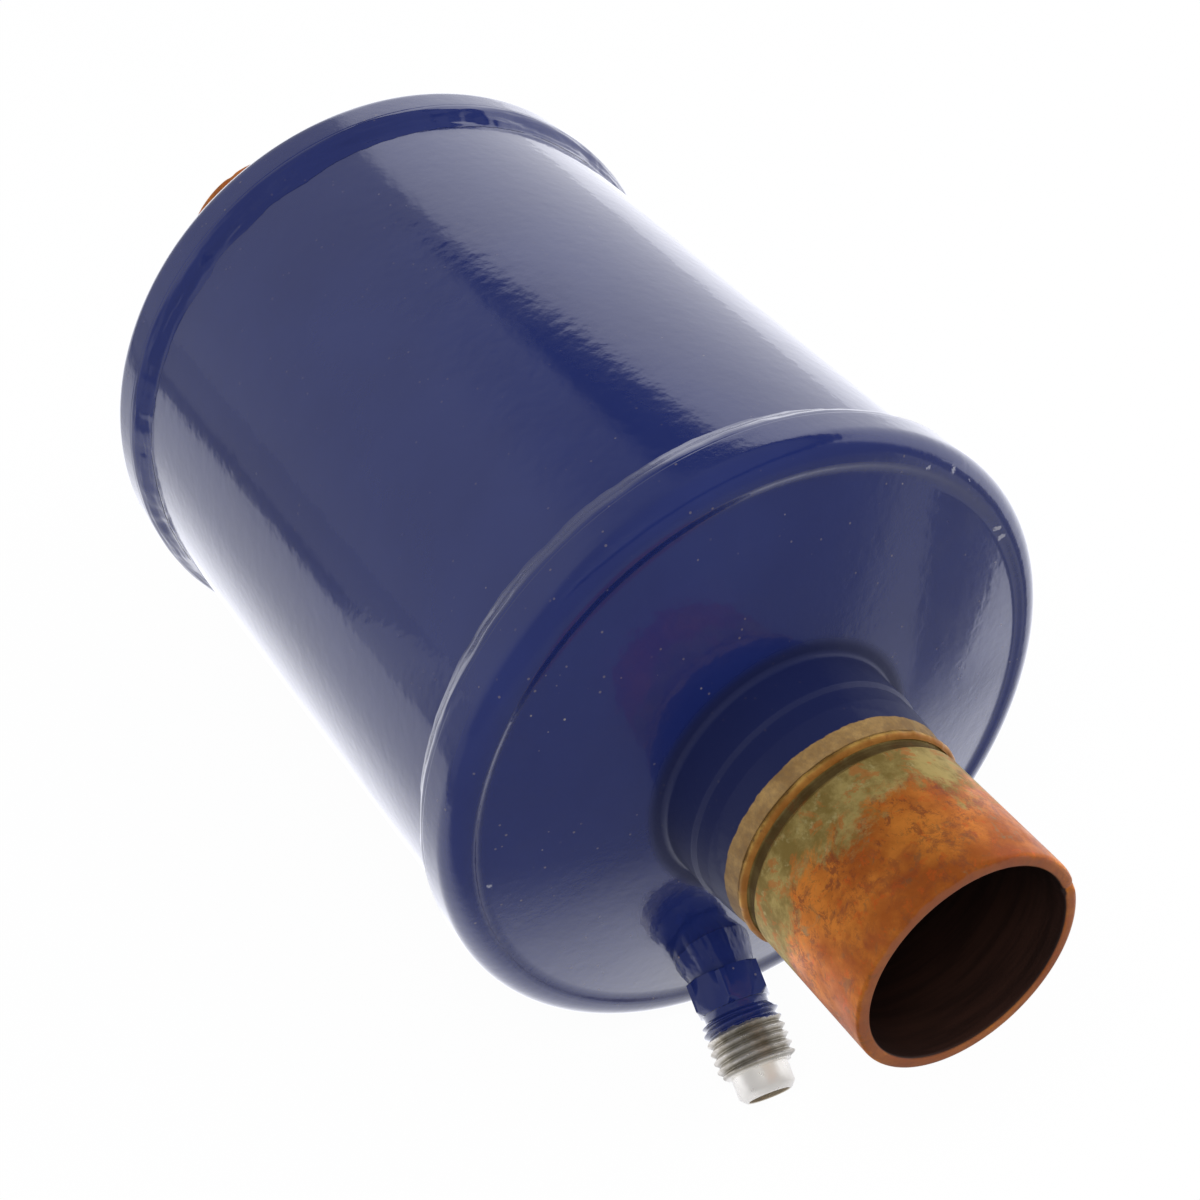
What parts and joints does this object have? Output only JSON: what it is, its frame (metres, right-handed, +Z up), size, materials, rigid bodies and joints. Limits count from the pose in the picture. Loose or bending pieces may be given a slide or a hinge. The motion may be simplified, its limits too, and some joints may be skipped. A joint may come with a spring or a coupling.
{
  "type": "filter drier",
  "caption": "Hermetic suction-line filter drier: blue painted steel shell with domed ends, copper sweat sockets and a side access valve with a spring-loaded core.",
  "frame": {"origin": "centre of the inlet socket's mouth", "axes": "+X out of the inlet socket along the flow axis, against the flow; +Z up as the drier lies on its side, on its two rims and the nose of the access valve"},
  "size_m": [0.1974, 0.0924, 0.0925],
  "materials": {
    "blue_paint": "gloss navy blue paint with fine orange peel, over steel",
    "copper": "copper, tarnished orange-brown with olive patches near the braze",
    "braze_metal": "golden braze alloy, dull",
    "valve_metal": "bare plated thread and nose, blue paint on the hexagon",
    "core_brass": "turned",
    "pin_steel": "drawn",
    "seal_rubber": "matt",
    "spring_steel": "drawn wire",
    "inner_steel": "pressed, bare",
    "felt": "pressed fibre felt",
    "desiccant": "bonded grains, matt"
  },
  "bodies": {
    "drier": {"shell_tube": "blue_paint", "inlet_end_cap": "blue_paint", "outlet_end_cap": "blue_paint", "inlet_girth_weld": "blue_paint", "outlet_girth_weld": "blue_paint", "inlet_tube": "copper", "outlet_tube": "copper", "inlet_braze_ring": "braze_metal", "outlet_braze_ring": "braze_metal", "access_valve_body": "valve_metal", "access_valve_braze": "blue_paint", "valve_core_barrel": "core_brass", "valve_core_gasket": "seal_rubber", "valve_core_spring": "spring_steel", "outlet_plate": "inner_steel", "outlet_felt_ring": "felt", "desiccant_core": "desiccant", "strainer_tube": "inner_steel", "filter_sleeve": "felt", "inlet_felt_ring": "felt", "spring_plate": "inner_steel", "core_spring": "spring_steel"},
    "valve_pin": {"valve_core_pin": "pin_steel", "valve_core_seal": "seal_rubber"}
  },
  "joints": [
    {"name": "valve_pin_press", "type": "slide", "parent": "drier", "child": "valve_pin", "axis": [-0.8634, 0.1108, 0.4922], "range_m": [0, 0.0012], "stiffness_N_per_m": 1200, "springref_m": -0.001, "deforming": ["valve_core_spring"]}
  ]
}
